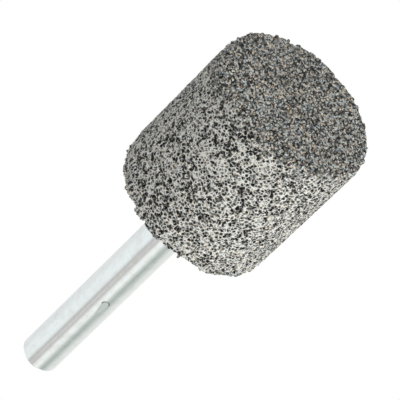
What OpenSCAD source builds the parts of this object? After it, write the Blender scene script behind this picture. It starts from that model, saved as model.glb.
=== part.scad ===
// Cylindrical mounted point: a bonded abrasive head cemented onto a keyed steel shank.
// The head stands on its flat working face at z = 0 and the shank rises along +Z.

/* [Abrasive head] */
// Diameter of the grinding cylinder.
head_d = 25; // [16:0.5:50]
// Length of the grinding cylinder from its working face to its back face.
head_len = 25; // [22:0.5:50]
// Rounding of the worn edge at the working face.
nose_edge_r = 1.2; // [0.4:0.1:3]
// Rounding of the edge at the back face, where the shank comes out.
back_edge_r = 0.8; // [0.3:0.1:2]

/* [Pits] */
// Distance between neighbouring main pits, where grains have broken out of the dressed side.
pit_pitch = 2.4; // [1.8:0.1:5]
// Depth of the deepest pit.
pit_depth = 0.6; // [0.3:0.05:0.8]
// Depth of the shallowest pit.
pit_least = 0.3; // [0.1:0.05:0.6]

/* [Shank] */
// Diameter of the plain shank, a standard collet size.
shank_d = 6; // [4:0.1:8]
// Length of shank that stands free of the head.
free_len = 40; // [32:1:80]
// Chamfer on the free tip, which leads the shank into a collet.
tip_chamfer = 1; // [0.2:0.1:1.5]

/* [Anchor] */
// Depth that the shank reaches into the head.
anchor_len = 16; // [10:0.5:18]
// Step by which the anchor is turned down below the plain shank, all round.
anchor_step = 0.3; // [0.1:0.05:0.6]
// Length of plain anchor between the keyed zone and the back face.
plain_neck_len = 1; // [0.5:0.5:3]
// Chamfer on the buried end of the anchor.
anchor_chamfer = 0.6; // [0.2:0.1:1]
// Number of straight flutes, which keep the head from turning on the shank.
flute_count = 20; // [8:1:24]
// Depth of each V-shaped flute.
flute_depth = 0.25; // [0.1:0.05:0.25]
// Number of ring grooves, which keep the head from pulling off the shank.
ring_count = 3; // [1:1:4]
// Depth of each V-shaped ring groove.
ring_depth = 0.35; // [0.2:0.05:0.5]

/* [Cement] */
// Width of the ring of cement that shows between the shank and the head at the back face.
cement_ring = 0.3; // [0.15:0.05:0.6]
// Thickness of the cement under the buried end of the anchor.
cement_floor = 0.6; // [0.3:0.1:1.5]

/* [Nick] */
// Distance from the back face to the crisp round nose of the small nick in the shank.
nick_offset = 21; // [4:0.5:26]
// Direction that the nick faces around the shank, counted from +X towards +Y.
nick_angle = 241; // [0:1:359]
// Radius of the nick's round nose.
nick_r = 0.65; // [0.4:0.05:1]
// Depth of the nick's flat floor below the surface of the shank, at the centre of its nose.
nick_depth = 0.07; // [0.04:0.01:0.15]
// Slope at which the floor runs out towards the tip.
nick_slope = 1.6; // [1:0.1:5]

/* [Hidden] */
$fn = 96;
head_r = head_d / 2;
shank_r = shank_d / 2;
total_len = head_len + free_len;
anchor_r = shank_r - anchor_step;
anchor_z = head_len - anchor_len;
bore_r = shank_r + cement_ring;
bore_z = anchor_z - cement_floor;
keyed_len = anchor_len - plain_neck_len;
pit_reach = pit_depth * sqrt(2);
pit_drift = pit_pitch / 4;
pit_start = nose_edge_r + pit_reach + pit_drift;
pit_end = head_len - back_edge_r - pit_reach - pit_drift;
pit_rise = pow(pit_pitch, 2) / (PI * head_d);
pit_count = floor((pit_end - pit_start) / pit_rise);
pit_cube_side = 3 * pit_depth;
golden_angle = 180 * (3 - sqrt(5));
corner_tilt = atan(1 / sqrt(2));
scatter_step = 78.233;
scatter_draw = 37.719;
scatter_gain = 1000;
flute_step = 360 / flute_count;
flute_side = flute_depth * sqrt(2);
ring_side = ring_depth * sqrt(2);
ring_pitch = keyed_len / (ring_count + 1);
nick_z = head_len + nick_offset + nick_r;
nick_run = nick_depth / sin(nick_slope) + nick_r;
nick_clearance = 4 * nick_depth;
head_color = [0.42, 0.41, 0.39];
steel_color = [0.78, 0.80, 0.80];
cement_color = [0.72, 0.70, 0.64];

// Half section of the head: a tall band, its two shorter end bands and the round edges between them.
module head_section() {
    translate([0, nose_edge_r])
        square([head_r, head_len - nose_edge_r - back_edge_r]);
    square([head_r - nose_edge_r, nose_edge_r]);
    translate([head_r - nose_edge_r, nose_edge_r])
        circle(r = nose_edge_r);
    translate([0, head_len - back_edge_r])
        square([head_r - back_edge_r, back_edge_r]);
    translate([head_r - back_edge_r, head_len - back_edge_r])
        circle(r = back_edge_r);
}

// Blind hole in the head, which the cement fills up to the back face.
module bore() {
    translate([0, 0, bore_z])
        cylinder(r = bore_r, h = head_len - bore_z);
}

// Number from 0 to 1 that looks random but is the same each time, for one draw of one pit.
function scatter(i, draw) =
    let (wave = scatter_gain * sin(i * scatter_step + draw * scatter_draw))
    wave - floor(wave);

// One angular pit in the side at +X: the corner of a cube, which points straight at the axis.
module pit(depth, turn) {
    translate([head_r - depth, 0, 0])
        rotate([turn, 0, 0])
            rotate([0, corner_tilt, 0])
                rotate([0, 0, -45])
                    cube(pit_cube_side);
}

// Main pits of the open structure, which drift at random from an even spiral up the side.
module pits() {
    for (i = [0 : pit_count]) {
        sideways = (2 * scatter(i, 1) - 1) * pit_drift / head_r * 180 / PI;
        upwards = (2 * scatter(i, 2) - 1) * pit_drift;
        depth = pit_least + (pit_depth - pit_least) * scatter(i, 3);
        rotate([0, 0, i * golden_angle + sideways])
            translate([0, 0, pit_start + i * pit_rise + upwards])
                pit(depth, 360 * scatter(i, 4));
    }
}

// Half section of the whole rod: the turned-down anchor, the shoulder level with the back face
// and the plain shank, with a chamfer at each end.
module shank_section() {
    polygon([
        [0, anchor_z],
        [anchor_r - anchor_chamfer, anchor_z],
        [anchor_r, anchor_z + anchor_chamfer],
        [anchor_r, head_len],
        [shank_r, head_len],
        [shank_r, total_len - tip_chamfer],
        [shank_r - tip_chamfer, total_len],
        [0, total_len]
    ]);
}

// Straight V-shaped flutes around the keyed zone, which run out through the buried end.
module flutes() {
    for (i = [1 : flute_count])
        rotate([0, 0, i * flute_step - flute_step / 2])
            translate([anchor_r, 0, anchor_z - flute_depth])
                rotate([0, 0, 45])
                    translate([-flute_side / 2, -flute_side / 2, 0])
                        cube([flute_side, flute_side, keyed_len + flute_depth]);
}

// V-shaped ring grooves, evenly spaced along the keyed zone.
module ring_grooves() {
    for (i = [1 : ring_count])
        translate([0, 0, anchor_z + i * ring_pitch])
            rotate_extrude()
                translate([anchor_r, 0])
                    rotate(45)
                        square(ring_side, center = true);
}

// Flat round-nosed slot, deepest at its nose nearest the head and running out towards the tip.
module nick() {
    rotate([0, 0, nick_angle])
        translate([shank_r - nick_depth, 0, nick_z])
            rotate([0, 90 + nick_slope, 0])
                linear_extrude(nick_clearance) {
                    circle(r = nick_r);
                    translate([-nick_run, -nick_r])
                        square([nick_run, 2 * nick_r]);
                }
}

// The turned rod with its keyed anchor, before anything struck it.
module keyed_rod() {
    difference() {
        rotate_extrude()
            shank_section();
        flutes();
        ring_grooves();
    }
}

module abrasive_head() {
    color(head_color)
        difference() {
            rotate_extrude()
                head_section();
            bore();
            pits();
        }
}

module shank() {
    color(steel_color)
        difference() {
            keyed_rod();
            nick();
        }
}

// The set cement: the bore less the rod, so it takes the print of every flute and groove.
module cement() {
    color(cement_color)
        difference() {
            bore();
            keyed_rod();
        }
}

abrasive_head();
shank();
cement();
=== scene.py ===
"""Looks of a cylindrical mounted point: porous abrasive head, bright steel shank, ring of cement.

Every surface is worked out in millimetres in the part's own frame, with the working face at z = 0
and the shank rising along +Z, and is written to its mesh in metres.
"""
import itertools
import logging
import math
from dataclasses import dataclass
from enum import Enum
from functools import reduce

import bpy
import numpy as np
from mathutils import Matrix, Vector


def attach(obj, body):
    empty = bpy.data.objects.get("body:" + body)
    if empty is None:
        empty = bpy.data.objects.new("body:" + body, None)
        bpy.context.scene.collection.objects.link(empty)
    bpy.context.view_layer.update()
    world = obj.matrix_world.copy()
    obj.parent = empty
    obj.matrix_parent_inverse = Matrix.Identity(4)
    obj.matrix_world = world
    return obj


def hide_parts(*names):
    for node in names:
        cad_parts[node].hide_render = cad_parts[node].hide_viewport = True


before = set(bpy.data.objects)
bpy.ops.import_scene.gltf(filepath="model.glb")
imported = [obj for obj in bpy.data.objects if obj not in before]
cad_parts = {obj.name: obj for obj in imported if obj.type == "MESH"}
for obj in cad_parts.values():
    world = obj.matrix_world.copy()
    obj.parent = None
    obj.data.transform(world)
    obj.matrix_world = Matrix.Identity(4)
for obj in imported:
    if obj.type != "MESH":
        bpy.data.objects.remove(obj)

MM = 0.001
IMAGE_WIDTH_PX = 400
SENSOR_MM = 36.0
FULL_TURN = 2.0 * math.pi
GOLDEN_ANGLE = math.pi * (3.0 - math.sqrt(5.0))
AXIS_FACTORS = (0x8DA6B343, 0xD8163841, 0xCB1AB31F)
SALT_FACTOR = 0x9E3779B1
MIX_STEPS = ((16, 0x7FEB352D), (15, 0x846CA68B))
LAST_SHIFT = 16
WORD = 2**32
log = logging.getLogger("mounted_point")

Pair = tuple[float, float]
Triple = tuple[float, float, float]
Colour = Triple
Grid = np.ndarray
Piece = bpy.types.Object
Material = bpy.types.Material
Node = bpy.types.Node
Socket = bpy.types.NodeSocket


class Ray(Enum):
    """Kinds of ray that see the white surround."""

    CAMERA = "Is Camera Ray"
    GLOSSY = "Is Glossy Ray"
    TRANSMISSION = "Is Transmission Ray"


class CellValue(Enum):
    """What a cell texture measures: the way to the nearest centre, or to the edge of the cell."""

    CENTRE = "F1"
    EDGE = "DISTANCE_TO_EDGE"


class MixKind(Enum):
    """Kinds of Mix node, each with the places of its factor, two inputs and result."""

    FLOAT = (0, 2, 3, 0)
    RGBA = (0, 6, 7, 2)


class Aim(Enum):
    """Axes of the way to a lamp: the picture's right, down and away, or the part's own."""

    PICTURE = "picture"
    PART = "part"


@dataclass(frozen=True)
class Ease:
    """Eased ramp from start, at the limit low, to end, at the limit high.

    Between the limits it follows 3t^2 - 2t^3 of the share t of the way, and past them it stays.
    """

    low: float
    high: float
    start: float = 0.0
    end: float = 1.0

    def at(self, value: Grid) -> Grid:
        """Ramp of each value."""
        t = np.clip((value - self.low) / (self.high - self.low), 0.0, 1.0)
        return self.start + (self.end - self.start) * t * t * (3.0 - 2.0 * t)


def lattice_random(cell: Grid, salt: int) -> Grid:
    """Random number from 0 to 1 for each lattice cell, by mixing the bits of its three indices.

    Args:
        cell: Integer indices, with the three axes last.
        salt: Number that picks one of many independent draws.

    Returns:
        Array without the last axis.
    """
    index = cell.astype(np.int64).astype(np.uint32)
    mixed = np.full(index.shape[:-1], salt * SALT_FACTOR % WORD, np.uint32)
    for axis, factor in enumerate(AXIS_FACTORS):
        mixed ^= index[..., axis] * np.uint32(factor)
    for shift, factor in MIX_STEPS:
        mixed ^= mixed >> np.uint32(shift)
        mixed *= np.uint32(factor)
    mixed ^= mixed >> np.uint32(LAST_SHIFT)
    return mixed.astype(np.float64) / WORD


@dataclass(frozen=True)
class SmoothNoise:
    """Lattice noise: random values at the corners of cubic cells, eased between them.

    reach is how far the noise moves a point that it shifts, along each axis.
    """

    cell: float
    salt: int
    reach: float = 0.0

    def at(self, points: Grid) -> Grid:
        """Noise from 0 to 1 at each point.

        Args:
            points: Points in millimetres, with the three axes last.

        Returns:
            Array without the last axis.
        """
        scaled = points / self.cell
        base = np.floor(scaled)
        t = scaled - base
        t = t * t * (3.0 - 2.0 * t)
        total = np.zeros(points.shape[:-1])
        for corner in itertools.product((0, 1), repeat=3):
            share = np.prod(np.where(np.array(corner) == 1, t, 1.0 - t), axis=-1)
            total += share * lattice_random(base + np.array(corner), self.salt)
        return total

    def shift(self, points: Grid) -> Grid:
        """Points moved by up to the reach along each axis, by three independent noises."""
        moves = [SmoothNoise(self.cell, self.salt + k).at(points) - 0.5 for k in (1, 2, 3)]
        return points + 2.0 * self.reach * np.stack(moves, axis=-1)


@dataclass(frozen=True)
class Cells:
    """What a cell pattern gives at each point, in millimetres.

    near is the distance to the nearest cell centre, edge the spare distance to the second nearest,
    tone and size two random numbers of the nearest cell, and away the vector from its centre.
    """

    near: Grid
    edge: Grid
    tone: Grid
    size: Grid
    away: Grid


@dataclass(frozen=True)
class CellPattern:
    """One random centre in each cubic cell of a lattice."""

    cell: float
    salt: int

    def at(self, points: Grid) -> Cells:
        """Finds the nearest two centres among the 27 cells around each point.

        Args:
            points: Points in millimetres, with the three axes last.

        Returns:
            The pattern at each point.
        """
        scaled = points / self.cell
        base = np.floor(scaled)
        first = np.full(points.shape[:-1], np.inf)
        second = first.copy()
        tone = np.zeros_like(first)
        size = np.zeros_like(first)
        away = np.zeros_like(points)
        for step in itertools.product((-1, 0, 1), repeat=3):
            cell = base + np.array(step)
            *centre, cell_tone, cell_size = (lattice_random(cell, self.salt + k) for k in range(5))
            gap = scaled - (cell + np.stack(centre, -1))
            distance = np.sqrt((gap * gap).sum(-1))
            closer = distance < first
            second = np.where(closer, first, np.minimum(second, distance))
            first = np.where(closer, distance, first)
            tone = np.where(closer, cell_tone, tone)
            size = np.where(closer, cell_size, size)
            away = np.where(closer[..., None], gap, away)
        unit = self.cell
        return Cells(first * unit, (second - first) * unit, tone, size, away * unit)


def bearings(columns: int) -> Grid:
    """Evenly spaced angles all round the axis, in radians."""
    return np.arange(columns) * (FULL_TURN / columns)


def turned_mesh(name: str, rings: Grid, values: dict[str, Grid]) -> Piece:
    """Closed mesh from rings of points; the first and last ring shrink to one point each.

    Quads join each ring to the next and the last column to the first, and a fan of triangles closes
    each end.

    Args:
        name: Name of the object and its mesh.
        rings: Points in millimetres, shaped rings by columns by 3, outwards round the profile.
        values: Numbers for each point, shaped rings by columns, kept as point attributes.

    Returns:
        The new object, at the origin, with smooth faces.
    """
    count, columns = rings.shape[:2]
    inner = rings[1:-1].reshape(-1, 3)
    points = np.vstack([inner, rings[0].mean(0), rings[-1].mean(0)])
    last_row = count - 3
    row = np.arange(last_row)[:, None] * columns
    here = np.arange(columns)[None, :]
    after = (here + 1) % columns
    quads = np.stack([row + here, row + after, row + columns + after, row + columns + here], -1)
    start = np.full(columns, len(inner))
    end = np.full(columns, len(inner) + 1)
    last = last_row * columns
    first_fan = np.stack([start, after[0], here[0]], -1)
    last_fan = np.stack([end, last + here[0], last + after[0]], -1)
    corners = np.concatenate([quads.ravel(), first_fan.ravel(), last_fan.ravel()])
    sizes = np.concatenate([np.full(quads.size // 4, 4), np.full(2 * columns, 3)])
    mesh = bpy.data.meshes.new(name)
    mesh.vertices.add(len(points))
    mesh.vertices.foreach_set("co", (points * MM).astype(np.float32).ravel())
    mesh.loops.add(len(corners))
    mesh.loops.foreach_set("vertex_index", corners.astype(np.int32))
    mesh.polygons.add(len(sizes))
    mesh.polygons.foreach_set("loop_start", (np.cumsum(sizes) - sizes).astype(np.int32))
    mesh.update(calc_edges=True)
    mesh.validate()
    mesh.shade_smooth()
    for label, grid in values.items():
        flat = np.concatenate([grid[1:-1].ravel(), [grid[0].mean(), grid[-1].mean()]])
        layer = mesh.attributes.new(label, "FLOAT", "POINT")
        layer.data.foreach_set("value", flat.astype(np.float32))
    obj = bpy.data.objects.new(name, mesh)
    bpy.context.scene.collection.objects.link(obj)
    return obj


@dataclass(frozen=True)
class NoiseLook:
    """Noise of a finish: features to the millimetre, layers of detail, and their roughness."""

    scale: float
    detail: float
    roughness: float = 0.5


@dataclass(frozen=True)
class BumpLook:
    """Bump of a finish: its strength, and its height in metres."""

    strength: float
    height: float


class NodeGraph:
    """Short way to add the nodes of one material and join them."""

    def __init__(self, tree: bpy.types.NodeTree) -> None:
        """Starts from an empty node tree."""
        self.tree = tree
        tree.nodes.clear()

    def add(self, kind: str, settings: dict | None = None, **inputs: object) -> Node:
        """Adds a node, sets its options and fills its inputs.

        Args:
            kind: Node type without the ShaderNode prefix.
            settings: Options of the node itself.
            inputs: Sockets to link or values to set, by input name with _ for a space.

        Returns:
            The node.
        """
        node = self.tree.nodes.new("ShaderNode" + kind)
        for key, value in (settings or {}).items():
            setattr(node, key, value)
        for key, value in inputs.items():
            self.fill(node.inputs[key.replace("_", " ")], value)
        return node

    def fill(self, target: Socket, value: object) -> None:
        """Links a socket to the target, or sets the target to a plain value.

        Args:
            target: Input to fill.
            value: Socket, number or vector.
        """
        if isinstance(value, Socket):
            self.tree.links.new(value, target)
        else:
            target.default_value = value

    def joined(self, node: Node, terms: tuple) -> Socket:
        """Fills a node's first inputs in order.

        Args:
            node: Node to fill.
            terms: Sockets, numbers or vectors.

        Returns:
            The node's first output.
        """
        for target, term in zip(node.inputs, terms):
            self.fill(target, term)
        return node.outputs[0]

    def math(self, operation: str, *terms: object) -> Socket:
        """Math node over one to three sockets or numbers."""
        return self.joined(self.add("Math", {"operation": operation}), terms)

    def vector(self, operation: str, *terms: object) -> Socket:
        """Vector Math node over one or two sockets or vectors."""
        return self.joined(self.add("VectorMath", {"operation": operation}), terms)

    def scaled(self, vector: Socket, factor: object) -> Socket:
        """Vector times a number."""
        return self.joined(self.add("VectorMath", {"operation": "SCALE"}, Scale=factor), (vector,))

    def total(self, *terms: object) -> Socket:
        """Sum of sockets and numbers, from the first to the last."""
        return reduce(lambda sum_so_far, term: self.math("ADD", sum_so_far, term), terms)

    def centred(self, value: Socket, gain: float, middle: float = 0.5) -> Socket:
        """Pattern about its middle, times a gain."""
        return self.math("MULTIPLY", self.math("SUBTRACT", value, middle), gain)

    def ramp(self, value: Socket, ease: Ease) -> Socket:
        """Eased ramp of a socket."""
        ends = dict(From_Min=ease.low, From_Max=ease.high, To_Min=ease.start, To_Max=ease.end)
        settings = {"interpolation_type": "SMOOTHSTEP"}
        return self.add("MapRange", settings, Value=value, **ends).outputs[0]

    def mix(self, share: object, *ends: object, kind: MixKind = MixKind.RGBA) -> Socket:
        """Mix between two ends.

        Args:
            share: Share of the second end.
            ends: Sockets or colours at the shares 0 and 1.
            kind: Whether numbers or colours are mixed.

        Returns:
            The mix.
        """
        node = self.add("Mix", {"data_type": kind.name, "clamp_factor": True})
        *places, result = kind.value
        for place, value in zip(places, (share, *ends)):
            self.fill(node.inputs[place], (*value, 1.0) if isinstance(value, tuple) else value)
        return node.outputs[result]

    def split(self, node: Node) -> list[Socket]:
        """Red, green and blue of a texture's colour, as three random draws of each cell."""
        return list(self.add("SeparateColor", Color=node.outputs["Color"]).outputs)

    def cells(self, place: Socket, size: float = 1.0, value: CellValue = CellValue.CENTRE) -> Node:
        """Cell texture with cells of about this size."""
        return self.add("TexVoronoi", {"feature": value.value}, Vector=place, Scale=1.0 / size)

    def noise(self, place: Socket, look: NoiseLook) -> Socket:
        """Noise from 0 to 1."""
        inputs = {"Scale": look.scale, "Detail": look.detail, "Roughness": look.roughness}
        return self.add("TexNoise", Vector=place, **inputs).outputs["Fac"]

    def bump(self, height: Socket, look: BumpLook, **base: Socket) -> Socket:
        """Normal bent by a height, from the surface's own or from a base named Normal."""
        inputs = {"Strength": look.strength, "Distance": look.height}
        return self.add("Bump", Height=height, **inputs, **base).outputs[0]

    def attribute(self, name: str) -> Socket:
        """Number kept on the mesh under this name."""
        return self.add("Attribute", {"attribute_name": name}).outputs["Fac"]

    def object_mm(self) -> Socket:
        """Object coordinates in millimetres."""
        return self.scaled(self.add("TexCoord").outputs["Object"], 1.0 / MM)

    def surface(self, **inputs: object) -> None:
        """Principled shader with these inputs, as the material's surface."""
        shader = self.add("BsdfPrincipled", **inputs)
        self.add("OutputMaterial", Surface=shader.outputs[0])


def new_material(name: str) -> tuple[Material, NodeGraph]:
    """Empty node material.

    Args:
        name: Its name.

    Returns:
        The material and its graph.
    """
    material = bpy.data.materials.new(name)
    material.use_nodes = True
    return material, NodeGraph(material.node_tree)


@dataclass(frozen=True)
class BondedGritFinish:
    """Bonded abrasive: a pale net of bond with dark pores on the side, and bare grit on the ends.

    The brightness of each spot is a sum of patterns on an even scale from 0 to 1, from black pore
    to white ridge, which a power turns into the share of light given back. Levels and gains are on
    that scale, cells in millimetres, and pinholes, net and basins in shares of their cells. A pair
    that ends in open or bare is a gain, by which the openness or bareness counts, and what is added
    to it, and end_dome is a gain and its middle.
    """

    cool: Colour = (0.81, 1.00, 1.10)
    warm: Colour = (1.22, 0.98, 0.69)
    rust: Colour = (1.50, 0.92, 0.52)
    grain_cell: float = 0.29
    grit_cell: float = 0.36
    end_cell: Triple = (0.22, 0.34, 0.22)
    tint_cell: Triple = (0.17, 0.27, 0.17)
    # pores are dark partly for their dark grit and partly as painted shade
    pore_wall: Ease = Ease(-0.07, 0.03, 0.10, 0.57)
    pore_ridge: Ease = Ease(0.05, 0.15, 0.0, 0.23)
    # painted shade inside the main pits
    pit_shade: Ease = Ease(-0.14, 0.04, -0.22, 0.0)
    basin_cell: float = 1.05
    basin_brim: Ease = Ease(0.08, 0.20)
    basin_floor: Ease = Ease(0.15, 0.85, -0.46, 0.10)
    basin_open: Pair = (1.2, 0.45)
    pin_cell: float = 0.53
    pin_shift: Triple = (0.45, 0.33, 0.19)
    pin_least: float = 0.20
    pin_spread: float = 0.24
    # pinholes are dark partly for their dark grit and partly as painted shade
    pin_hole: Ease = Ease(-0.07, 0.04, -0.52, 0.0)
    pin_open: Pair = (-0.35, 1.0)
    net_line: Ease = Ease(0.03, 0.14, 0.42, -0.12)
    net_open: Pair = (0.5, 0.9)
    side_open: Pair = (0.12, -0.13)
    side_grain: float = 0.56
    side_grit: float = 0.16
    broad: NoiseLook = NoiseLook(0.28, 2.0)
    side_broad: float = 0.16
    end_level: float = 0.485
    # painted shade: sunk grains on the bare ends are darker
    end_sunk_shade: float = -0.08
    end_chip: float = 1.14
    end_grain: float = 0.22
    end_dome: Pair = (-0.55, 0.55)
    # painted glint: a few chips of the bare ends are lifted towards white
    end_painted_glint: Ease = Ease(0.93, 0.96, 0.0, 0.34)
    darkest: float = 0.06
    palest: float = 0.97
    power: float = 2.2
    vivid_bare: Pair = (0.55, 0.45)
    warmth: float = 0.46
    rusty: Ease = Ease(0.965, 0.975)
    facet_lean: float = 0.7
    dust: NoiseLook = NoiseLook(5.0, 2.0, 0.6)
    dust_bump: BumpLook = BumpLook(0.5, 0.00004)
    roughness: Ease = Ease(0.0, 1.0, 0.62, 0.92)
    specular: float = 0.5

    def side_level(self, g: NodeGraph, place: Socket, grain: Socket) -> Socket:
        """Brightness of the dressed side.

        It adds up the pore's wall and ridge, the painted shade in the pit, the floor of the basin
        inside its brim, the pinhole, the line of the net and the draws of the grains. Pores and
        pinholes are dark partly for the dark grit in them and partly as painted shade.

        Args:
            g: Graph of the material.
            place: Object coordinates in millimetres.
            grain: Random draw of each grain.

        Returns:
            The brightness.
        """
        moved = g.vector("ADD", place, self.pin_shift)
        pin = g.cells(moved, self.pin_cell)
        net = g.cells(moved, self.pin_cell, CellValue.EDGE)
        basin = g.cells(place, self.basin_cell)
        brim = g.cells(place, self.basin_cell, CellValue.EDGE)
        grit = g.cells(place, self.grit_cell)
        wall, openness = g.attribute("wall"), g.attribute("open")
        radius = g.math("MULTIPLY_ADD", g.split(pin)[0], -self.pin_spread, -self.pin_least)
        past_rim = g.math("ADD", pin.outputs["Distance"], radius)

        def opened(value: Socket, change: Pair) -> Socket:
            """Value that counts more or less where the structure is open."""
            return g.math("MULTIPLY", value, g.math("MULTIPLY_ADD", openness, *change))

        floor = opened(g.ramp(g.split(basin)[0], self.basin_floor), self.basin_open)
        return g.total(
            # pores: dark grit and painted shade inside them
            g.ramp(wall, self.pore_wall),
            g.ramp(wall, self.pore_ridge),
            # painted shade inside the main pits
            g.ramp(g.attribute("mouth"), self.pit_shade),
            g.math("MULTIPLY", g.ramp(brim.outputs["Distance"], self.basin_brim), floor),
            # pinholes: dark grit and painted shade inside them
            opened(g.ramp(past_rim, self.pin_hole), self.pin_open),
            opened(g.ramp(net.outputs["Distance"], self.net_line), self.net_open),
            g.math("MULTIPLY_ADD", openness, *self.side_open),
            g.centred(grain, self.side_grain),
            g.centred(g.split(grit)[0], self.side_grit),
            g.centred(g.noise(place, self.broad), self.side_broad),
        )

    def material(self) -> Material:
        """Builds the node material, which reads the wall, mouth, open, sunk and dressed values.

        On the bare ends each chip of grit has its own draw and is darker towards its edge, painted
        shade darkens the grains that are sunk, and a few chips carry a painted glint. Each grain
        has a tint from cool to warm, stronger on the bare ends, where a few are rusty. The normal
        leans at random on each chip, with fine dust on it.

        Returns:
            The material.
        """
        material, g = new_material("bonded_grit")
        place = g.object_mm()
        dressed = g.attribute("dressed")
        bareness = g.math("SUBTRACT", 1.0, dressed)
        grain = g.split(g.cells(place, self.grain_cell))
        chip = g.cells(g.vector("DIVIDE", place, self.end_cell))
        draws = g.split(chip)
        side = self.side_level(g, place, grain[0])
        bare = g.total(
            self.end_level,
            # painted shade on the sunk grains
            g.centred(g.attribute("sunk"), self.end_sunk_shade),
            g.centred(draws[0], self.end_chip),
            g.centred(grain[0], self.end_grain),
            g.centred(chip.outputs["Distance"], *self.end_dome),
            # painted glint on a few chips
            g.ramp(draws[1], self.end_painted_glint),
        )
        level = g.mix(dressed, bare, side, kind=MixKind.FLOAT)
        even = g.add("Clamp", Value=level, Min=self.darkest, Max=self.palest).outputs[0]
        dye = g.split(g.cells(g.vector("DIVIDE", place, self.tint_cell)))
        vivid = g.math("MULTIPLY_ADD", bareness, *self.vivid_bare)
        warmth = g.math("MULTIPLY_ADD", g.centred(dye[2], 1.0), vivid, self.warmth)
        rusty = g.math("MULTIPLY", g.ramp(dye[1], self.rusty), bareness)
        tint = g.mix(rusty, g.mix(warmth, self.cool, self.warm), self.rust)
        lean = g.vector("SUBTRACT", chip.outputs["Color"], (0.5, 0.5, 0.5))
        normal = g.add("NewGeometry").outputs["Normal"]
        facet = g.vector("NORMALIZE", g.vector("ADD", normal, g.scaled(lean, self.facet_lean)))
        g.surface(
            Base_Color=g.scaled(tint, g.math("POWER", even, self.power)),
            Normal=g.bump(g.noise(place, self.dust), self.dust_bump, Normal=facet),
            Roughness=g.ramp(grain[2], self.roughness),
            Specular_IOR_Level=self.specular,
        )
        return material


@dataclass(frozen=True)
class BrightSteelFinish:
    """Bright drawn steel: fine rings and long draw lines, faint patches, and painted shade in the
    nick.
    """

    colour: Colour = (0.86, 0.875, 0.87)
    stain: Colour = (0.74, 0.74, 0.72)
    # painted shade: dark colour for the corner under the nick's wall
    nick_shade: Colour = (0.20, 0.17, 0.15)
    ring_stretch: Triple = (0.3, 0.3, 14.0)
    line_stretch: Triple = (4.0, 4.0, 0.12)
    drawn: NoiseLook = NoiseLook(1.0, 3.0)
    patches: NoiseLook = NoiseLook(0.7, 4.0, 0.65)
    specks: NoiseLook = NoiseLook(6.0, 2.0)
    worn: Ease = Ease(0.72, 1.05, 0.0, 0.7)
    line_share: float = 0.6
    speck_share: float = 0.4
    patch_rough: Pair = (0.12, 0.14)
    nick_shade_rough: float = 0.4
    grooves: BumpLook = BumpLook(0.12, 0.00002)

    def material(self) -> Material:
        """Builds the node material on Object coordinates and the mesh's value of painted shade in
        the nick.

        Returns:
            The material.
        """
        material, g = new_material("bright_steel")
        place = g.object_mm()
        nick_shade = g.attribute("nick_shade")
        rings = g.noise(g.vector("MULTIPLY", place, self.ring_stretch), self.drawn)
        lines = g.noise(g.vector("MULTIPLY", place, self.line_stretch), self.drawn)
        patches = g.noise(place, self.patches)
        specks = g.noise(place, self.specks)
        worn = g.math("MULTIPLY_ADD", lines, self.line_share, patches)
        tint = g.mix(g.ramp(worn, self.worn), self.colour, self.stain)
        rough = g.math("MULTIPLY_ADD", patches, *self.patch_rough)
        height = g.math("MULTIPLY_ADD", specks, self.speck_share, rings)
        height = g.math("MULTIPLY_ADD", lines, self.line_share, height)
        g.surface(
            # painted shade in the corner of the nick darkens the steel here
            Base_Color=g.mix(nick_shade, tint, self.nick_shade),
            Roughness=g.math("MULTIPLY_ADD", nick_shade, self.nick_shade_rough, rough),
            Normal=g.bump(height, self.grooves),
            Metallic=1.0,
        )
        return material


@dataclass(frozen=True)
class SetCementFinish:
    """Set cement: pale putty with fine sand in it."""

    pale: Colour = (0.50, 0.46, 0.38)
    dark: Colour = (0.24, 0.22, 0.19)
    sand: NoiseLook = NoiseLook(7.0, 4.0, 0.7)
    shade: Ease = Ease(0.35, 0.65)
    roughness: Ease = Ease(0.3, 0.7, 0.70, 0.95)
    grains: BumpLook = BumpLook(0.6, 0.00006)

    def material(self) -> Material:
        """Builds the node material on Object coordinates.

        Returns:
            The material.
        """
        material, g = new_material("set_cement")
        sand = g.noise(g.object_mm(), self.sand)
        g.surface(
            Base_Color=g.mix(g.ramp(sand, self.shade), self.dark, self.pale),
            Normal=g.bump(sand, self.grains),
            Roughness=g.ramp(sand, self.roughness),
        )
        return material


@dataclass(frozen=True)
class Pores:
    """Small pores of the dressed side, one to a cubic cell, with a radius from small to large.

    All are smaller by tight, and larger by opening where the structure is fully open. Each sinks
    by the depth along the slope of its wall.
    """

    pattern: CellPattern = CellPattern(0.66, 21)
    small: float = 0.12
    large: float = 0.28
    tight: float = 0.05
    opening: float = 0.08
    depth: float = 0.36
    slope: Ease = Ease(0.10, -0.18)

    def wall(self, points: Grid, openness: Grid) -> Grid:
        """Distance from each point to the wall of its nearest pore, below zero inside the pore."""
        cells = self.pattern.at(points)
        plain = cells.near - self.small - (self.large - self.small) * cells.size
        return plain + self.tight - self.opening * openness


@dataclass(frozen=True)
class BrokenGrains:
    """Grains of the broken surface, each a tilted facet of its own depth with a gap around it."""

    pattern: CellPattern = CellPattern(0.42, 41)
    bend: SmoothNoise = SmoothNoise(0.3, 51, 0.06)
    least: float = 0.05
    spread: float = 0.20
    lean: float = 0.5
    third_draw: float = 7.0
    gap: Ease = Ease(0.12, 0.0, 0.0, 0.08)

    def facets(self, place: Grid) -> tuple[Grid, Grid]:
        """Depth of the facets: the grain's own, a plane through its centre, and the gap's.

        Args:
            place: Points of the turned form.

        Returns:
            Depth in millimetres, and how far each grain is sunk, from 0 to 1.
        """
        grains = self.pattern.at(self.bend.shift(place))
        third = (grains.tone * self.third_draw) % 1.0
        tilt = np.stack([grains.tone, grains.size, third], -1) - 0.5
        plane = self.lean * (tilt * grains.away).sum(-1)
        depth = self.least + self.spread * grains.size + plane + self.gap.at(grains.edge)
        return depth, grains.size


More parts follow.
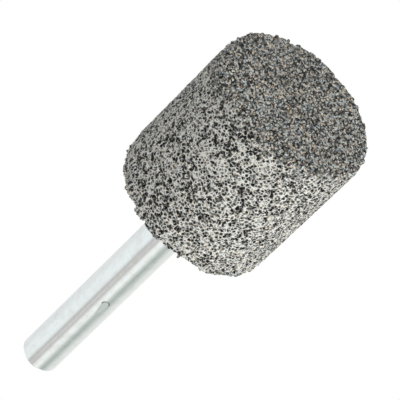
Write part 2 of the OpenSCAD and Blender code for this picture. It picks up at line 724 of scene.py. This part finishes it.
@dataclass(frozen=True)
class StandingGrains:
    """Grains that stand out of the surface: taller on the bare ends and at the edges.

    Only cells whose draw is past the rarity have one, and each is a knob with eased flanks.
    """

    pattern: CellPattern = CellPattern(0.8, 91)
    rarity: float = 0.55
    flank: Ease = Ease(0.38, 0.22)
    tall: float = 0.34
    dressed_less: float = 0.14
    edge_more: float = 0.05

    def height(self, points: Grid, dressed: Grid, edge: Grid) -> Grid:
        """Height of the knobs, given the shares of dressed surface and of nearness to an edge."""
        loose = self.pattern.at(points)
        tall = self.tall - self.dressed_less * dressed + self.edge_more * edge
        return tall * self.flank.at(loose.near) * (loose.tone > self.rarity)


@dataclass
class AbrasiveHead:
    """The bonded abrasive cylinder, with pores in its dressed side and bare grit on its ends."""

    radius: float = 12.5
    length: float = 25.0
    nose_edge: float = 1.2
    back_edge: float = 0.8
    bore_radius: float = 3.3
    bore_middle: float = 17.0
    bore_floor: float = 8.4
    columns: int = 440
    side_step: float = 0.18
    face_step: float = 0.27
    sharp_angle: float = 30.0
    pit_pitch: float = 2.4
    pit_depth: float = 0.6
    pit_least: float = 0.3
    pit_bend: SmoothNoise = SmoothNoise(0.5, 15, 0.08)
    scatter_gain: float = 1000.0
    scatter_step: float = 78.233
    scatter_draw: float = 37.719
    bend: SmoothNoise = SmoothNoise(0.40, 11, 0.09)
    pores: Pores = Pores()
    grains: BrokenGrains = BrokenGrains()
    bare_facets: float = 0.8
    dressed_facets: float = 0.4
    standing: StandingGrains = StandingGrains()
    chips: CellPattern = CellPattern(1.5, 71)
    chip_depth: float = 0.50
    chip_rarity: int = 3
    edge_zone: Ease = Ease(3.0, 0.8)
    swell: SmoothNoise = SmoothNoise(2.6, 61)
    swell_depth: float = 0.08
    lift: float = 0.07
    open_wander: SmoothNoise = SmoothNoise(4.0, 25)
    open_share: float = 0.5
    open_side: Ease = Ease(-0.9, 0.6)
    fray: SmoothNoise = SmoothNoise(1.3, 81)
    fray_reach: float = 2.2
    bare_wider: float = 3.6
    bare_from: float = 0.2
    nose_fade: Ease = Ease(-2.2, 1.5)
    back_fade: Ease = Ease(-1.0, 0.8)
    value_limits: Pair = (-0.5, 0.8)
    least_radius: float = 0.1
    finish: BondedGritFinish = BondedGritFinish()

    def profile(self) -> tuple[Grid, Grid]:
        """Half section from the middle of the working face, round the outside and down the bore.

        Each straight run and each edge arc is cut into equal steps of about the side's or the
        face's step.

        Returns:
            Points (radius, height) and outward normals (radial, axial), one row each.
        """
        nose, back, top = self.nose_edge, self.back_edge, self.length
        runs = (
            ((0.0, 0.0), (self.radius - nose, 0.0), (0.0, -1.0), self.face_step),
            ((self.radius, nose), (self.radius, top - back), (1.0, 0.0), self.side_step),
            ((self.radius - back, top), (self.bore_radius, top), (0.0, 1.0), self.face_step),
        )
        arcs = (
            ((self.radius - nose, nose), nose, -90.0),
            ((self.radius - back, top - back), back, 0.0),
        )
        points, normals = [], []
        for index, (start, end, normal, step) in enumerate(runs):
            count = round(math.dist(start, end) / step)
            share = np.linspace(0.0, 1.0, count + 1)[:, None]
            points.append((1.0 - share) * np.array(start) + share * np.array(end))
            normals.append(np.broadcast_to(normal, points[-1].shape))
            if index < len(arcs):
                centre, size, angle = arcs[index]
                count = round(size * math.pi / 2 / self.side_step)
                turn = np.radians(angle) + np.linspace(0.0, math.pi / 2, count + 1)[1:-1]
                outward = np.stack([np.cos(turn), np.sin(turn)], -1)
                points.append(np.array(centre) + size * outward)
                normals.append(outward)
        bore, floor = self.bore_radius, self.bore_floor
        points.append(np.array(((bore, self.bore_middle), (bore, floor), (0.0, floor))))
        normals.append(np.zeros(points[-1].shape))
        return np.vstack(points), np.vstack(normals)

    def inward(self, place: Grid) -> Grid:
        """Way in from the side, square to the axis."""
        return self.radius - np.hypot(place[..., 0], place[..., 1])

    def dressing(self, place: Grid) -> Grid:
        """Share of dressed surface: the side is dressed, and frays to bare grit round each edge.

        The fade runs along the section, as height past the edge's start less the way in from the
        side. The bare band at the nose is wider towards +X.

        Args:
            place: Points of the turned form.

        Returns:
            Share from 0 on the ends to 1 on the side.
        """
        inward = self.inward(place)
        fray = self.fray_reach * (self.fray.at(place) - 0.5)
        wider = self.bare_wider * np.maximum(place[..., 0] / self.radius - self.bare_from, 0.0)
        from_nose = place[..., 2] - self.nose_edge - inward - wider + fray
        from_back = self.length - self.back_edge - place[..., 2] - inward + fray
        return self.nose_fade.at(from_nose) * self.back_fade.at(from_back)

    def openness(self, place: Grid) -> Grid:
        """How open the structure is, from 0 to 1: more so towards +X, with a slow wander."""
        wander = self.open_share * (self.open_wander.at(place) - 0.5)
        return self.open_side.at(place[..., 0] / self.radius + wander)

    def scatter(self, index: Grid) -> Grid:
        """Four numbers from 0 to 1 for each pit, fractions of tall sine waves, as in the CAD."""
        draw = np.arange(1, 5)[:, None]
        turn = np.radians(index * self.scatter_step + draw * self.scatter_draw)
        return (self.scatter_gain * np.sin(turn)) % 1.0

    def pits(self, place: Grid) -> Grid:
        """Distance along the side to the mouth of the nearest main pit, below zero inside it.

        The pits lie where the CAD has them, adrift from an even spiral up the side. Each is the
        corner of a cube that points at the axis, so its mouth is a triangle, and the distance is
        the farthest way out past one of the three sides.

        Args:
            place: Points near the turned form.

        Returns:
            Distance in millimetres; the pit's depth is the root of two times its negative.
        """
        reach, drift = self.pit_depth * math.sqrt(2.0), self.pit_pitch / 4.0
        start = self.nose_edge + reach + drift
        end = self.length - self.back_edge - reach - drift
        rise = self.pit_pitch**2 / (FULL_TURN * self.radius)
        index = np.arange(math.floor((end - start) / rise) + 1)
        sideways, upwards, deepness, spinning = self.scatter(index)
        bearing = index * GOLDEN_ANGLE + (2.0 * sideways - 1.0) * drift / self.radius
        height = start + index * rise + (2.0 * upwards - 1.0) * drift
        depth = self.pit_least + (self.pit_depth - self.pit_least) * deepness
        turn = FULL_TURN * spinning
        angle = np.arctan2(place[..., 1], place[..., 0])
        wall = np.full(angle.shape, np.inf)
        for at, up, deep, spin in zip(bearing, height, depth, turn):
            across = self.radius * ((angle - at + math.pi) % FULL_TURN - math.pi)
            along = place[..., 2] - up
            ways = [spin + math.pi / 2.0 + k * FULL_TURN / 3.0 for k in range(3)]
            sides = [across * math.cos(way) + along * math.sin(way) for way in ways]
            wall = np.minimum(wall, -np.minimum.reduce(sides) - deep / math.sqrt(2.0))
        return wall

    def relief(self, place: Grid, dressed: Grid) -> tuple[Grid, dict[str, Grid]]:
        """Depth of the surface below the turned form.

        On the dressed side lie the main pits, and pores sink towards their centres and leave a net
        of ridges. All over, the surface is broken into grains, roughest on the bare ends, some
        grains stand out, and the whole lies on a slow swell. Chips break the edges, and each point
        takes the draw of the sharp corner beyond it, so that a chip goes right round the edge.

        Args:
            place: Points of the turned form.
            dressed: Share of dressed surface at each point.

        Returns:
            Depth in millimetres, and the values that the finish reads: the distances to the nearest
            pore's wall and the nearest pit's mouth, below zero inside, how far each grain is sunk,
            and how open the structure is.
        """
        bent = self.bend.shift(place)
        openness = self.openness(place)
        wall = self.pores.wall(bent, openness)
        mouth = self.pits(self.pit_bend.shift(place))
        pores = self.pores.depth * dressed * self.pores.slope.at(wall)
        sinks = np.maximum(pores, -math.sqrt(2.0) * mouth)
        facets, sunk = self.grains.facets(place)
        inward = self.inward(place)
        to_end = np.minimum(place[..., 2], self.length - place[..., 2])
        edge = self.edge_zone.at(inward + to_end)
        spread = self.radius / np.maximum(self.radius - inward, self.least_radius)
        end = np.where(place[..., 2] < self.length / 2.0, 0.0, self.length)
        corner = np.stack([place[..., 0] * spread, place[..., 1] * spread, end], -1)
        draw = self.chips.at(corner + bent - place).tone
        chips = self.chip_depth * edge * draw**self.chip_rarity
        rough = (self.bare_facets - self.dressed_facets * dressed) * facets
        swell = self.swell_depth * self.swell.at(place)
        stand = self.standing.height(bent, dressed, edge)
        depth = np.maximum(sinks, 0.0) + rough + swell + chips - stand
        depth = depth - self.lift + self.lift * edge
        values = {
            "wall": np.clip(wall, *self.value_limits),
            "mouth": np.clip(mouth, *self.value_limits),
            "sunk": sunk,
            "open": openness,
        }
        return np.maximum(depth, 0.0), values

    def build(self) -> Piece:
        """Makes the mesh and puts it in the place of the CAD head.

        Returns:
            The head's object.
        """
        section, normals = self.profile()
        angle = bearings(self.columns)
        around = np.stack([np.cos(angle), np.sin(angle), np.zeros_like(angle)], -1)
        along = np.array([0.0, 0.0, 1.0])
        place = section[:, None, :1] * around[None] + section[:, None, 1:] * along
        outward = normals[:, None, :1] * around[None] + normals[:, None, 1:] * along
        dressed = self.dressing(place)
        depth, values = self.relief(place, dressed)
        rings = place - outward * depth[..., None]
        head = turned_mesh("grit_head", rings, {**values, "dressed": dressed})
        head.data.set_sharp_from_angle(angle=math.radians(self.sharp_angle))
        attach(head, "root")
        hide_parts("abrasive_head")
        head.data.materials.append(self.finish.material())
        return head


@dataclass
class Shank:
    """The steel rod, from its keyed anchor inside the head to the chamfered tip, with one nick.

    The rows are counted from the start of the nick.
    """

    radius: float = 3.0
    tip: float = 65.0
    tip_chamfer: float = 1.0
    shoulder: float = 25.0
    anchor_radius: float = 2.7
    anchor_end: float = 9.0
    anchor_chamfer: float = 0.6
    keyed_end: float = 24.0
    flute_count: int = 20
    flute_depth: float = 0.25
    ring_count: int = 3
    ring_depth: float = 0.35
    nick_start: float = 46.0
    nick_angle: float = 241.0
    nick_radius: float = 0.65
    nick_depth: float = 0.07
    nick_slope: float = 1.6
    nick_shade_wall: Ease = Ease(0.26, 0.10)
    nick_shade_along: Ease = Ease(0.4, -0.2)
    columns: int = 320
    anchor_step: float = 0.2
    close_step: float = 0.05
    plain_step: float = 1.0
    plain_rows_end: float = -0.5
    close_rows: Pair = (-0.3, 3.5)
    plain_rows_again: float = 4.0
    sharp_angle: float = 20.0
    finish: BrightSteelFinish = BrightSteelFinish()

    def profile(self) -> Grid:
        """Half section from the buried end to the tip, with close rows where the form changes.

        Returns:
            Points (radius, height), one row each.
        """
        nick, chamfer_start = self.nick_start, self.tip - self.tip_chamfer
        keyed = np.arange(self.anchor_end + self.anchor_chamfer, self.shoulder, self.anchor_step)
        before = np.arange(self.shoulder, nick + self.plain_rows_end, self.plain_step)
        close = np.arange(nick + self.close_rows[0], nick + self.close_rows[1], self.close_step)
        beyond = np.arange(nick + self.plain_rows_again, chamfer_start, self.plain_step)
        stretches = (
            (self.anchor_radius, np.concatenate([keyed, [self.shoulder]])),
            (self.radius, np.concatenate([before, close, beyond, [chamfer_start]])),
        )
        runs = [np.stack([np.full_like(rows, size), rows], -1) for size, rows in stretches]
        buried_face = self.anchor_radius - self.anchor_chamfer
        buried = np.array([(0.0, self.anchor_end), (buried_face, self.anchor_end)])
        face = self.radius - self.tip_chamfer
        free = np.array([(face, self.tip), (0.5 * face, self.tip), (0.0, self.tip)])
        return np.vstack([buried, *runs, free])

    def keys(self, radius: Grid, height: Grid, angle: Grid) -> Grid:
        """Depth of the V-shaped flutes and ring grooves of the anchor.

        Each V is its depth less the distance from its middle line, where that is above zero.

        Args:
            radius: Radius of each point.
            height: Height of each point.
            angle: Angle of each point in radians.

        Returns:
            Depth in millimetres, zero outside the keyed zone.
        """
        pitch = FULL_TURN / self.flute_count
        off = np.abs((angle % pitch) - pitch / 2.0) * self.anchor_radius
        flutes = np.clip(self.flute_depth - off, 0.0, None)
        spacing = (self.keyed_end - self.anchor_end) / (self.ring_count + 1)
        place = (height - self.anchor_end) / spacing
        nearest = np.clip(np.round(place), 1, self.ring_count)
        grooves = np.clip(self.ring_depth - np.abs(place - nearest) * spacing, 0.0, None)
        zone = (height <= self.keyed_end) & (radius > 0.5 * self.anchor_radius)
        return np.where(zone, np.maximum(flutes, grooves), 0.0)

    def nick(self, radius: Grid, height: Grid, angle: Grid) -> tuple[Grid, Grid]:
        """Radius left by the nick, a flat round-nosed slot that is deepest at its nose.

        The slot's floor is a plane, square to the nick's direction but for a slight slope that
        brings it out through the rod towards the tip. Painted shade darkens the corner under its
        wall.

        Args:
            radius: Radius of each point before the nick.
            height: Height of each point.
            angle: Angle of each point in radians.

        Returns:
            Radius of each point, and the share of painted shade on it.
        """
        turn = angle - math.radians(self.nick_angle)
        along = height - self.nick_start - self.nick_radius
        across = radius * np.sin(turn)
        inside = self.nick_radius - np.hypot(np.minimum(along, 0.0), across)
        floor = self.radius - self.nick_depth + math.tan(math.radians(self.nick_slope)) * along
        facing = (inside > 0.0) & (np.cos(turn) > 0.0) & (height > self.shoulder)
        sunk = np.hypot(across, floor)
        cut = np.where(facing & (sunk < radius), sunk, radius)
        # painted shade, strongest in the corner under the nick's wall
        nick_shade = self.nick_shade_wall.at(inside) * self.nick_shade_along.at(along) * (cut < radius)
        return cut, nick_shade

    def build(self) -> Piece:
        """Makes the mesh and puts it in the place of the CAD shank.

        Returns:
            The shank's object.
        """
        section = self.profile()
        angle = bearings(self.columns)
        radius, height, turn = np.broadcast_arrays(section[:, :1], section[:, 1:], angle[None])
        cut, nick_shade = self.nick(radius - self.keys(radius, height, turn), height, turn)
        rings = np.stack([cut * np.cos(turn), cut * np.sin(turn), height], -1)
        shank = turned_mesh("bright_shank", rings, {"nick_shade": nick_shade})
        shank.data.set_sharp_from_angle(angle=math.radians(self.sharp_angle))
        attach(shank, "root")
        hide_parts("shank")
        shank.data.materials.append(self.finish.material())
        return shank


@dataclass
class CementSleeve:
    """The set cement, which is the CAD solid with its own finish."""

    finish: SetCementFinish = SetCementFinish()

    def dress(self) -> Piece:
        """Gives the CAD node its finish.

        Returns:
            The cement's object.
        """
        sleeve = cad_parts["cement"]
        sleeve.data.materials.clear()
        sleeve.data.materials.append(self.finish.material())
        return sleeve


@dataclass
class PhotoCamera:
    """Camera that sees the part as the photograph does.

    tilt is how far the shank leans away from the camera and turn its direction in the picture, from
    the right edge clockwise. offset is the middle of the working face right of, below and away from
    the lens, in millimetres. near and far are the limits of sight in metres.
    """

    tilt: float = 35.84
    turn: float = 135.77
    offset: Triple = (13.510, -13.355, 420.4)
    focal_px: float = 3085.0
    near: float = 0.01
    far: float = 20.0

    def axes(self) -> Grid:
        """Part's X, Y and Z axes as columns, in the camera's right, down and away directions.

        Returns:
            Three by three rotation.
        """
        tilt, turn = math.radians(self.tilt), math.radians(self.turn)
        flat = math.cos(tilt)
        up = np.array([flat * math.cos(turn), flat * math.sin(turn), math.sin(tilt)])
        side = np.cross([0.0, 0.0, 1.0], up)
        side /= np.linalg.norm(side)
        return np.stack([side, np.cross(up, side), up], -1)

    def place(self, right: float, down: float, away: float) -> Vector:
        """Direction in the part's frame of a direction in the picture."""
        return Vector(self.axes().T @ np.array([right, down, away]))

    def build(self) -> Piece:
        """Makes the scene's camera.

        Returns:
            The camera.
        """
        data = bpy.data.cameras.new("photo_camera")
        data.sensor_width = SENSOR_MM
        data.lens = self.focal_px * SENSOR_MM / IMAGE_WIDTH_PX
        data.clip_start, data.clip_end = self.near, self.far
        camera = bpy.data.objects.new("photo_camera", data)
        columns = [self.place(1, 0, 0), self.place(0, -1, 0), self.place(0, 0, -1)]
        turn = Matrix(columns).transposed().to_4x4()
        where = -self.place(*self.offset) * MM
        camera.matrix_world = Matrix.Translation(where) @ turn
        bpy.context.scene.collection.objects.link(camera)
        bpy.context.scene.camera = camera
        return camera


@dataclass(frozen=True)
class SoftBox:
    """Square lamp: the way to it, its strength, its distance and size in metres, and its axes.

    Strength is the light it adds to a facing surface, as a share of that surface's own colour.
    """

    name: str
    towards: Triple
    strength: float
    distance: float = 0.6
    size: float = 0.45
    aim: Aim = Aim.PICTURE


@dataclass
class Studio:
    """Pale floor, white surround, soft lamps and a round screen of tones that the shank mirrors.

    Sizes and places are in metres, and the floor's fade is in millimetres from the middle of the
    working face. Each tone is a bearing, in degrees from the camera's side towards -X, and the
    screen's colour there.
    """

    camera: PhotoCamera
    ambient: float = 0.33
    middle: Triple = (0.0, 0.0, 0.025)
    floor_colour: Colour = (0.86, 0.86, 0.85)
    floor_half: float = 3.0
    floor_level: float = -0.00005
    floor_fade: Ease = Ease(60.0, 300.0)
    screen_radius: float = 0.5
    screen_half: float = 0.9
    screen_columns: int = 181
    lamps: tuple[SoftBox, ...] = (
        SoftBox("key_lamp", (0.62, 0.72, -0.30), 0.46),
        SoftBox("camera_lamp", (0.115, 0.082, -0.99), 0.31),
        SoftBox("top_lamp", (-0.4, -0.3, 1.0), 0.35, 0.8, 0.6, Aim.PART),
        SoftBox("back_lamp", (0.0, 1.0, 0.5), 0.40, 0.8, 0.6, Aim.PART),
    )
    tones: tuple[tuple[float, ...], ...] = (
        (-180.0, 0.46, 0.48, 0.48),
        (-164.0, 0.84, 0.86, 0.87),
        (-112.0, 0.82, 0.85, 0.86),
        (-75.0, 0.93, 0.97, 0.98),
        (-33.0, 0.93, 0.98, 0.99),
        (-16.0, 0.50, 0.49, 0.48),
        (-5.0, 0.78, 0.77, 0.76),
        (6.0, 0.54, 0.54, 0.53),
        (20.0, 0.98, 0.99, 0.98),
        (39.0, 1.04, 1.07, 1.06),
        (58.0, 0.57, 0.62, 0.60),
        (70.0, 0.45, 0.51, 0.49),
        (108.0, 0.84, 0.86, 0.84),
        (164.0, 0.92, 0.93, 0.92),
        (180.0, 0.46, 0.48, 0.48),
    )

    def seen(self, g: NodeGraph) -> Socket:
        """Switch that is 1 for what the camera, gloss and glass see, and 0 for what only lights.

        Args:
            g: Graph that the switch is added to.

        Returns:
            The switch's output.
        """
        path = g.add("LightPath")
        seen = path.outputs[Ray.CAMERA.value]
        for ray in (Ray.GLOSSY, Ray.TRANSMISSION):
            seen = g.math("MAXIMUM", seen, path.outputs[ray.value])
        return seen

    def surround(self) -> None:
        """White world for what the camera, gloss and glass see, and a softer one as light."""
        world = bpy.data.worlds.new("white_surround")
        world.use_nodes = True
        g = NodeGraph(world.node_tree)
        strength = g.math("MULTIPLY_ADD", self.seen(g), 1.0 - self.ambient, self.ambient)
        light = g.add("Background", Color=(1.0, 1.0, 1.0, 1.0), Strength=strength)
        g.add("OutputWorld", Surface=light.outputs[0])
        bpy.context.scene.world = world

    def add_lamp(self, box: SoftBox) -> Piece:
        """Square area lamp that faces the part.

        Its power is the strength times pi squared times the square of its distance.

        Args:
            box: The lamp.

        Returns:
            The lamp's object.
        """
        data = bpy.data.lights.new(box.name, "AREA")
        data.shape, data.size = "SQUARE", box.size
        data.energy = box.strength * math.pi**2 * box.distance**2
        lamp = bpy.data.objects.new(box.name, data)
        pictured = box.aim is Aim.PICTURE
        way = self.camera.place(*box.towards) if pictured else Vector(box.towards)
        way.normalize()
        turn = way.to_track_quat("Z", "Y").to_matrix().to_4x4()
        lamp.matrix_world = Matrix.Translation(Vector(self.middle) + way * box.distance) @ turn
        lamp.visible_camera = lamp.visible_glossy = False
        bpy.context.scene.collection.objects.link(lamp)
        return lamp

    def panel(
        self, name: str, corners: list[tuple], faces: list[tuple], material: Material
    ) -> Piece:
        """Stage piece of plain faces.

        Args:
            name: Name of the piece.
            corners: Its points in metres.
            faces: Corner numbers of each face.
            material: Its material.

        Returns:
            The piece's object.
        """
        mesh = bpy.data.meshes.new(name)
        mesh.from_pydata(corners, [], faces)
        mesh.materials.append(material)
        piece = bpy.data.objects.new(name, mesh)
        bpy.context.scene.collection.objects.link(piece)
        return piece

    def floor(self) -> None:
        """Pale floor under the working face, which fades to white far from the part.

        It is clear when looked through from underneath, and gloss looks past it to the screen.
        """
        material, g = new_material("pale_floor")
        pale = g.add("BsdfDiffuse", Color=(*self.floor_colour, 1.0))
        white = g.add("Emission", Strength=self.seen(g))
        clear = g.add("BsdfTransparent")
        away = g.add("VectorMath", {"operation": "LENGTH"})
        g.fill(away.inputs[0], g.object_mm())
        far = g.ramp(away.outputs["Value"], self.floor_fade)
        under = g.add("NewGeometry").outputs["Backfacing"]
        layers = (pale.outputs[0], white.outputs[0])
        fade = g.joined(g.add("MixShader"), (far, *layers))
        shader = g.joined(g.add("MixShader"), (under, fade, clear.outputs[0]))
        g.add("OutputMaterial", Surface=shader)
        half = self.floor_half
        square = ((-1, -1), (1, -1), (1, 1), (-1, 1))
        corners = [(x * half, y * half, self.floor_level) for x, y in square]
        piece = self.panel("floor", corners, [(0, 1, 2, 3)], material)
        for hidden in ("shadow", "diffuse", "glossy"):
            setattr(piece, "visible_" + hidden, False)

    def screen(self) -> None:
        """Tall round screen of paler and darker stretches, which only gloss sees.

        Each point of the round is its bearing and a height, and its colour runs straight from one
        stretch to the next.
        """
        bearing = np.linspace(-180.0, 180.0, self.screen_columns)
        knots, *parts = np.array(self.tones).T
        colour = np.stack([np.interp(bearing, knots, part) for part in parts], -1)
        turn = np.radians(bearing)
        ring = self.screen_radius * np.stack([-np.sin(turn), -np.cos(turn)], -1)
        levels = (-self.screen_half, self.screen_half)
        corners = [(*place, level) for level in levels for place in ring]
        count = len(ring)
        faces = [(k, k + 1, count + k + 1, count + k) for k in range(count - 1)]
        material, g = new_material("screen_glow")
        tone = g.add("Attribute", {"attribute_name": "tone"}).outputs["Color"]
        g.add("OutputMaterial", Surface=g.add("Emission", Color=tone).outputs[0])
        piece = self.panel("screen", corners, faces, material)
        layer = piece.data.attributes.new("tone", "FLOAT_COLOR", "POINT")
        full = np.concatenate([np.tile(colour, (2, 1)), np.ones((2 * count, 1))], axis=1)
        layer.data.foreach_set("color", full.astype(np.float32).ravel())
        for hidden in ("camera", "diffuse", "shadow", "transmission", "volume_scatter"):
            setattr(piece, "visible_" + hidden, False)

    def build(self) -> None:
        """Sets up the surround, floor, lamps and screen."""
        self.surround()
        self.floor()
        for box in self.lamps:
            self.add_lamp(box)
        self.screen()


def main() -> None:
    """Builds the pieces in order, then the studio."""
    logging.basicConfig(level=logging.INFO, format="%(name)s: %(message)s")
    scene = bpy.context.scene
    scene.view_settings.view_transform = "Standard"
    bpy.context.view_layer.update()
    pieces = [AbrasiveHead().build(), Shank().build(), CementSleeve().dress()]
    for piece in pieces:
        log.info("%s: %d faces", piece.name, len(piece.data.polygons))
    camera = PhotoCamera()
    camera.build()
    Studio(camera).build()


if __name__ == "__main__":
    main()
